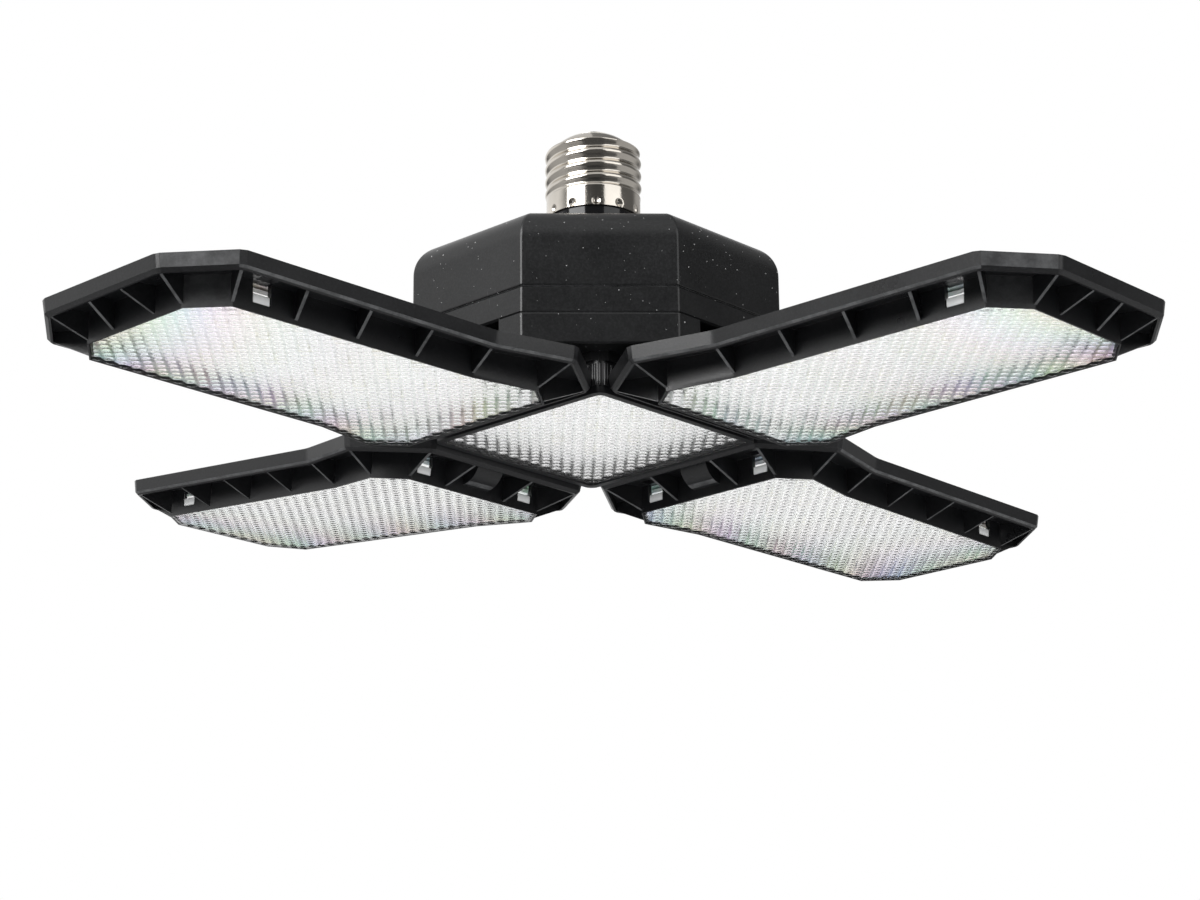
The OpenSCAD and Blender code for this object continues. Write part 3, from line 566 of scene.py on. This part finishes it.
def lenslet_cells(x0, x1, y0, y1):
    """A grid of square cells, each an eight-sided dome's plan, as a bmesh in the plane."""
    bm = bmesh.new()
    cache = {}

    def vert(x, y):
        key = (round(x, 4), round(y, 4))
        if key not in cache:
            cache[key] = bm.verts.new((x, y, 0))
        return cache[key]

    p = LENSLET_PITCH
    half = 0.5 * p
    border = [(half, 0), (half, half), (0, half), (-half, half),
              (-half, 0), (-half, -half), (0, -half), (half, -half)]
    turns = [k * 2 * math.pi / LENSLET_SIDES for k in range(LENSLET_SIDES)]
    for i in range(math.floor(x0 / p), math.ceil(x1 / p)):
        for j in range(math.floor(y0 / p), math.ceil(y1 / p)):
            cx, cy = (i + 0.5) * p, (j + 0.5) * p
            middle = vert(cx, cy)
            loops = [[vert(cx + r * math.cos(a), cy + r * math.sin(a)) for a in turns]
                     for r in (LENSLET_RING * p, LENSLET_R * p)]
            loops.append([vert(cx + dx, cy + dy) for dx, dy in border])
            for k in range(LENSLET_SIDES):
                n = (k + 1) % LENSLET_SIDES
                bm.faces.new((middle, loops[0][k], loops[0][n]))
                for a, b in ((0, 1), (1, 2)):
                    bm.faces.new((loops[a][k], loops[b][k], loops[b][n], loops[a][n]))
    return bm


def cut_convex(bm, outline):
    """Keeps what lies inside a convex counter-clockwise outline."""
    for i, a in enumerate(outline):
        d = (outline[(i + 1) % len(outline)] - a).normalized()
        bmesh.ops.bisect_plane(bm, geom=bm.verts[:] + bm.edges[:] + bm.faces[:], dist=1e-5,
                               plane_co=(a.x, a.y, 0), plane_no=(d.y, -d.x, 0), clear_outer=True)


CLEAR = 0.985
SHEEN_LEAST = 0.01
# Strength of the painted rainbow sheen, where it is strongest, and the length over which it fades
SHEEN_SIDE = (0.28, 27.0, 8.0)
SHEEN_TIP = (0.24, 152.0, 14.0)


def fading(share, at, fade, place):
    return share * math.exp(-max(0.0, at - place) / fade)


def sheen_tint_at(p, far):
    """Painted rainbow sheen at p, in slow bands of pastel colour, strongest by the edge that far points to,
    the edge away from the camera, and by the tip.
    """
    strength = SHEEN_LEAST
    if far is not None:
        strength += fading(*SHEEN_SIDE, p.dot(far)) + fading(*SHEEN_TIP, p.dot(turned((1, 0), LATTICE_TURN)))
    strength *= 1.0 - 0.9 * dome(p.x, p.y)
    phase = 0.16 * p.x + 0.11 * p.y + 1.3 * math.sin(0.07 * p.y - 0.05 * p.x)
    return tuple(CLEAR - strength * (0.5 - 0.5 * math.cos(phase + k * 2.1)) for k in range(3)) + (1.0,)


def lens_piece(name, outline, convex_parts, place, node, body, far=None):
    """A clear plate with black sides and domes on its outer face, its outlines in the lattice's own axes."""
    xs = [p.x for p in outline]
    ys = [p.y for p in outline]
    bm = bmesh.new()
    for part in convex_parts:
        cells = lenslet_cells(min(xs), max(xs), min(ys), max(ys))
        cut_convex(cells, part)
        merge(bm, cells)
    bmesh.ops.remove_doubles(bm, verts=bm.verts, dist=1e-3)
    sheen_tint = bm.verts.layers.float_color.new("sheen_tint")
    n = len(outline)
    for v in bm.verts:
        p = Vector((v.co.x, v.co.y))
        near = min(segment_distance(p, outline[i], outline[(i + 1) % n]) for i in range(n))
        fade = max(0.0, min(1.0, (near - LENS_MARGIN) / LENS_MARGIN))
        v.co.z = LENSLET_H * (1.0 - dome(p.x, p.y) * fade)
        v[sheen_tint] = sheen_tint_at(p, far)
    frost = bm.faces.layers.float.new("frost")
    grown = bmesh.ops.extrude_edge_only(bm, edges=[e for e in bm.edges if e.is_boundary])["geom"]
    for item in grown:
        if isinstance(item, bmesh.types.BMFace):
            item.material_index = 1
        elif isinstance(item, bmesh.types.BMVert):
            item.co.z = LENS_T
            item[sheen_tint] = (CLEAR, CLEAR, CLEAR, 1.0)
    rim = [item for item in grown if isinstance(item, bmesh.types.BMEdge)]
    # The new inner face takes its neighbours' material, so its own is set again.
    for face in bmesh.ops.contextual_create(bm, geom=rim)["faces"]:
        face[frost] = 1.0
        face.material_index = 0
    bmesh.ops.recalc_face_normals(bm, faces=bm.faces)
    bm.transform(place)
    obj = stand_for(node, mesh_of(name, bm), LENS, body, 50)
    obj.data.materials.append(FRAME_BLACK)


def panel_lens(panel):
    def in_lattice(half):
        """A half outline made whole, in the lattice's axes."""
        whole = [(u, -v) for u, v in half] + [(u, v) for u, v in reversed(half)]
        return [turned(p, LATTICE_TURN) for p in whole]

    place = panel_matrix(panel) @ Matrix.Rotation(-LATTICE_TURN, 4, "Z")
    # The painted rainbow sheen is strongest at the edge away from the camera: +v on the right panels, -v on
    # the left ones
    far = turned((0, 1 if panel.endswith("right") else -1), LATTICE_TURN)
    parts = (in_lattice(LENS_HALF[:3]), in_lattice(LENS_HALF[2:]))
    lens_piece(f"{panel}_domed_lens", in_lattice(LENS_HALF), parts, place,
               f"{panel}_lens", f"{panel}_panel", far)


def centre_lens():
    corner = CENTRE_LENS_HALF * math.sqrt(2)
    square = [Vector(p) for p in ((0, -corner), (corner, 0), (0, corner), (-corner, 0))]
    place = Matrix.Scale(MM, 4) @ Matrix.Translation((0, 0, CENTRE_FACE_Z))
    lens_piece("centre_domed_lens", square, (square,), place, "centre_lens", "housing")


# ---------- Screw shell ----------

def dome_z(r):
    """Height of the dome over the thread at radius r."""
    return DOME_TOP_Z - DOME_AXIS * (1.0 - math.sqrt(1.0 - (r / THREAD_ROOT_R) ** 2))


def shell_radius(z, angle):
    """Outer radius of the rolled shell at height z and angle in radians."""
    if z > THREAD_TOP_Z:
        share = 1.0 - (DOME_TOP_Z - z) / DOME_AXIS
        return THREAD_ROOT_R * math.sqrt(max(0.0, 1.0 - share * share))
    if z < THREAD_LOW_Z:
        return SKIRT_R
    turns = ((z - THREAD_LOW_Z) / THREAD_PITCH - (angle / (2 * math.pi)) % 1.0 + 0.5) % 1.0
    crest = (0.5 - 0.5 * math.cos(2 * math.pi * turns)) ** CREST_POWER
    wave = THREAD_ROOT_R + (THREAD_CREST_R - THREAD_ROOT_R) * crest
    start = min(1.0, max(0.0, (z - THREAD_LOW_Z) / THREAD_FADE_LOW))
    end = min(1.0, max(0.0, (THREAD_TOP_Z - z) / THREAD_FADE_TOP))
    low = SKIRT_R + (wave - SKIRT_R) * start
    return SHOULDER_R + (low - SHOULDER_R) * math.sin(end * math.pi / 2)


def dimple(z, angle):
    """How far the punched dimples push the skirt in."""
    off = (angle - DIMPLE_FIRST) / DIMPLE_STEP
    off = (off - round(off)) * DIMPLE_STEP * SKIRT_R
    r = math.hypot(off, z - DIMPLE_Z)
    return DIMPLE_DEEP * (1 - (r / DIMPLE_R) ** 2) ** 1.3 if r < DIMPLE_R else 0.0


def shell():
    """The rolled sheet shell: dome, thread and skirt, with an outer side and an inner one."""
    rows = list(np.arange(SKIRT_Z, THREAD_LOW_Z, SHELL_SKIRT_STEP))
    rows += list(np.arange(THREAD_LOW_Z, THREAD_TOP_Z, SHELL_THREAD_STEP))
    for i in range(SHELL_DOME_STEPS + 1):
        rows.append(dome_z(SHOULDER_R + (MOUTH_R - SHOULDER_R) * i / SHELL_DOME_STEPS))
    top = rows[-1]
    n = len(rows)
    points, faces = [], []
    for inset in (0.0, SHELL_T):
        for z in rows:
            inward, down = (inset, 0.0) if z < top else (0.0, inset)
            for k in range(SHELL_AROUND):
                a = 2 * math.pi * k / SHELL_AROUND
                r = shell_radius(z, a) - dimple(z, a) - inward
                points.append((r * math.cos(a) * MM, r * math.sin(a) * MM, (z - down) * MM))

    def band(low, high, outward):
        """Faces between two rows of points."""
        for k in range(SHELL_AROUND):
            m = (k + 1) % SHELL_AROUND
            quad = tuple(row * SHELL_AROUND + at for row, at in ((low, k), (low, m), (high, m), (high, k)))
            faces.append(quad if outward else quad[::-1])

    for i in range(n - 1):
        band(i, i + 1, True)
    for i in range(n - 1):
        band(n + i, n + i + 1, False)
    band(0, n, False)
    band(n - 1, n + n - 1, True)
    mesh = bpy.data.meshes.new("rolled_shell")
    mesh.from_pydata(points, [], faces)
    mesh.update()
    stand_for("screw_shell", mesh, NICKEL, "housing", 60)


# ---------- Snap clips of the lenses ----------

def rounded_block(bm, low, high, place, width):
    """Adds a block with rounded edges to bm."""
    part = bmesh.new()
    bmesh.ops.create_cube(part, size=1.0)
    size = [high[i] - low[i] for i in range(3)]
    for v in part.verts:
        v.co = Vector([low[i] + (v.co[i] + 0.5) * size[i] for i in range(3)])
    bevel(part, part.edges[:], width)
    part.transform(place)
    merge(bm, part)


def clip_places():
    """Each clip's place in panel coordinates: x along the lens's edge, y outward."""
    a, b = Vector(LENS_HALF[2]), Vector(LENS_HALF[3])
    at = a + (b - a) * CLIP_SIDE_SHARE
    side = Matrix.Translation((at.x, at.y, 0)) @ Matrix.Rotation(math.atan2(b.y - a.y, b.x - a.x), 4, "Z")
    hinge = Matrix.Translation((LENS_HALF[0][0], CLIP_HINGE_V, 0)) @ Matrix.Rotation(math.pi / 2, 4, "Z")
    mirror = Matrix.Diagonal((1, -1, 1, 1))
    return [side, hinge, mirror @ side, mirror @ hinge]


def clips(panel):
    """A lens's four clips, each a spring arm with a catch that sits in the frame's window."""
    bm = bmesh.new()
    half = CLIP_W / 2
    back = -BOX_IN - FIT_GAP
    for place in clip_places():
        rounded_block(bm, (-half, back - 1.0, LENS_T - 0.1), (half, back, CLIP_HIGH + 0.3), place, 0.25)
        rounded_block(bm, (-half, back - 0.4, CLIP_LOW), (half, BOX_OUT - 0.1, CLIP_HIGH), place, 0.4)
    bmesh.ops.recalc_face_normals(bm, faces=bm.faces)
    bm.transform(panel_matrix(panel))
    stand_for(f"{panel}_lens", mesh_of(f"{panel}_clips", bm), CLIP, f"{panel}_panel", 40)


# ---------- Stage, light and camera, in metres ----------

FLOOR_HALF = 6.0
FLOOR_Z = -0.75
FLOOR_GLOW = 0.68
BOUNCE_SIDE = 2.6
BOUNCE_Z = -0.7
AIM_Z = -0.05

# Brightness of the even light on everything, and of the parts of the room that gloss sees
PLAIN_LIGHT = 0.42
FRONT_DARK = 0.06
LEFT_WALL = 0.95
RIGHT_WALL = 0.12
SIDES = 0.8
BACKDROP = 0.95
LOW_FRONT = 0.08
LOW_SIDES = 0.45
CEILING = 0.66

# Yaw, pitch and roll in degrees, and the place, the focal length and the width of the sensor in millimetres
CAMERA_ANGLES = (-1.79, 17.31, -0.55)
CAMERA_AT = (-21.7, -730.8, -318.3)
CAMERA_LENS = 86.34
CAMERA_SENSOR = 36


def stage():
    """A pale floor, nearly as white as the backdrop. Clear plastic sees both as white."""
    mesh = bpy.data.meshes.new("floor")
    s, z = FLOOR_HALF, FLOOR_Z
    mesh.from_pydata([(-s, -s, z), (s, -s, z), (s, s, z), (-s, s, z)], [], [(0, 1, 2, 3)])
    m = Paint("floor_paint")
    m.set(Base_Color=(0.82, 0.82, 0.82, 1.0), Roughness=0.9, Specular_IOR_Level=0.1)
    path = m.add("ShaderNodeLightPath").outputs
    glow = m.add("ShaderNodeEmission").outputs[0]
    through = m.mix_shader(path["Is Transmission Ray"], m.shader.outputs[0], glow)
    seen = m.math("MULTIPLY", path["Is Camera Ray"], FLOOR_GLOW)
    m.put(m.tree.nodes["Material Output"], Surface=m.mix_shader(seen, through, glow))
    floor = new_object("floor", mesh, m.mat)
    floor.visible_glossy = False


def world():
    """White behind the object. Gloss sees a dim room: dark in front and below, a pale wall on each side.

    Azimuths are in radians from the camera's side towards +X. Heights are the upward share of a direction.
    """
    studio = bpy.data.worlds.new("studio")
    bpy.context.scene.world = studio
    studio.use_nodes = True
    studio.node_tree.nodes.clear()
    w = Nodes(studio.node_tree)

    def background(strength, colour=(1, 1, 1, 1)):
        return w.put(w.add("ShaderNodeBackground"), Color=colour, Strength=strength).outputs[0]

    path = w.add("ShaderNodeLightPath").outputs
    where = w.put(w.add("ShaderNodeSeparateXYZ"), Vector=w.add("ShaderNodeTexCoord").outputs["Generated"])
    x, y, z = where.outputs
    azimuth = w.math("ARCTAN2", x, w.math("MULTIPLY", y, -1.0))
    turn = w.math("ABSOLUTE", azimuth)
    left = w.ramp(azimuth, -1.05, -1.75, FRONT_DARK, LEFT_WALL)
    right = w.ramp(azimuth, 0.6, 1.4, FRONT_DARK, RIGHT_WALL)
    sides = w.largest(w.ramp(azimuth, -1.75, -2.3, 0.0, SIDES), w.ramp(azimuth, 1.75, 2.3, 0.0, SIDES / 2))
    low = w.ramp(turn, 2.0, 2.6, w.ramp(turn, 0.5, 1.3, LOW_FRONT, LOW_SIDES), LOW_FRONT)
    walls = w.ramp(z, -0.05, 0.15, low, w.largest(left, right, sides))
    backdrop = w.ramp(z, -0.27, -0.13, 0.0, w.ramp(turn, 2.5, 2.95, 0.0, BACKDROP))
    ceiling = w.ramp(azimuth, 0.8, 1.3, CEILING, CEILING / 3)
    room = w.ramp(z, 0.5, 0.75, w.largest(walls, backdrop), ceiling)
    lit = w.mix_shader(path["Is Glossy Ray"], background(PLAIN_LIGHT), background(1.0, room))
    seen = w.largest(path["Is Camera Ray"], path["Is Transmission Ray"])
    w.put(w.add("ShaderNodeOutputWorld"), Surface=w.mix_shader(seen, lit, background(1.0)))


def lamp(name, shape, size, radiance):
    """An area lamp with the given radiance over its face, whatever its size."""
    data = bpy.data.lights.new(name, "AREA")
    data.shape = shape
    data.size, data.size_y = size
    data.energy = radiance * math.pi * size[0] * size[1]
    obj = bpy.data.objects.new(name, data)
    bpy.context.scene.collection.objects.link(obj)
    return obj


def soft_box(name, azimuth, elevation, distance, size, radiance, gloss=True, diffuse=True):
    """A soft box, its azimuth in degrees from the camera's side towards +X, aimed at the housing."""
    obj = lamp(name, "RECTANGLE", size, radiance)
    a, e = math.radians(azimuth), math.radians(elevation)
    away = Vector((math.sin(a) * math.cos(e), -math.cos(a) * math.cos(e), math.sin(e)))
    obj.location = Vector((0, 0, AIM_Z)) + away * distance
    obj.rotation_euler = (-away).to_track_quat("-Z", "Y").to_euler()
    obj.visible_glossy = gloss
    obj.visible_diffuse = diffuse
    obj.visible_transmission = diffuse


def floor_bounce(radiance):
    """The light that a wide white floor throws up at the lenses, over and above what this floor gives."""
    obj = lamp("bounce", "SQUARE", (BOUNCE_SIDE, BOUNCE_SIDE), radiance)
    obj.location = (0, 0, BOUNCE_Z)
    obj.rotation_euler = (math.pi, 0, 0)
    obj.visible_glossy = False
    obj.visible_camera = False


def camera():
    """The camera that was solved from the photograph."""
    yaw, pitch, roll = (math.radians(a) for a in CAMERA_ANGLES)
    forward = Vector((-math.sin(yaw) * math.cos(pitch), math.cos(yaw) * math.cos(pitch), math.sin(pitch)))
    level = Vector((math.cos(yaw), math.sin(yaw), 0))
    up = level.cross(forward)
    right = math.cos(roll) * level + math.sin(roll) * up
    top = -math.sin(roll) * level + math.cos(roll) * up
    cam = bpy.data.cameras.new("camera")
    cam.sensor_width = CAMERA_SENSOR
    cam.sensor_fit = "HORIZONTAL"
    cam.lens = CAMERA_LENS
    cam.clip_start = 0.01
    obj = bpy.data.objects.new("camera", cam)
    turn = Matrix((right, top, -forward)).transposed().to_4x4()
    obj.matrix_world = Matrix.Translation(Vector(CAMERA_AT) * MM) @ turn
    bpy.context.scene.collection.objects.link(obj)
    bpy.context.scene.camera = obj


for panel in PANELS:
    panel_lens(panel)
centre_lens()
shell()
round_housing("top_cover")
round_housing("base_housing")
for panel in PANELS:
    round_frame(panel)
for panel in PANELS:
    clips(panel)

stage()
world()
# The diffuse and the gloss lamps of a pair stand at different distances, because one would hide the other.
soft_box("key", -45.5, 25, 1.75, (1.25, 1.5), 3.0, gloss=False)
soft_box("key_gloss", -45.5, 25, 1.6, (1.15, 1.4), 6.0, diffuse=False)
soft_box("fill", 46, 22, 1.6, (1.1, 1.4), 1.6, gloss=False)
soft_box("fill_gloss", 47, 22, 1.45, (1.05, 1.25), 1.4, diffuse=False)
floor_bounce(0.9)
camera()
bpy.context.scene.view_settings.view_transform = "Standard"
